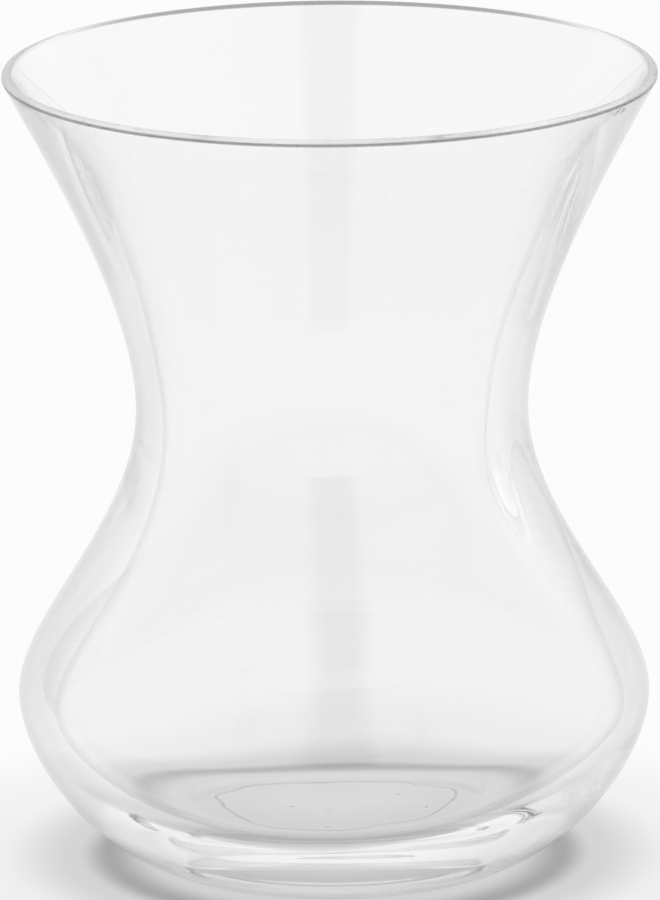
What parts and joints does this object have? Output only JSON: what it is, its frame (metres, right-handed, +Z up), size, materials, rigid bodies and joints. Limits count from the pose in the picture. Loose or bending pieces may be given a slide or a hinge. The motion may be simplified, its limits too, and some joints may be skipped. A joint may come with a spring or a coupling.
{
  "type": "tulip tea glass",
  "caption": "Clear tulip-shaped tea glass with a thick base, a round belly, a narrow waist to hold it by and a flared rim with a fine rounded lip; it stands upright and holds hot tea.",
  "frame": {"origin": "centre of the base, on the surface that the glass stands on", "axes": "+Z up along the glass's axis, from the base to the rim; the glass is turned about this axis, so +X and +Y are free, and -Y faces the viewer of the picture"},
  "size_m": [0.071, 0.071, 0.0883],
  "materials": {
    "clear_glass": "polished, clear soda-lime glass"
  },
  "bodies": {
    "root": {"glass_body": "clear_glass"}
  },
  "joints": []
}
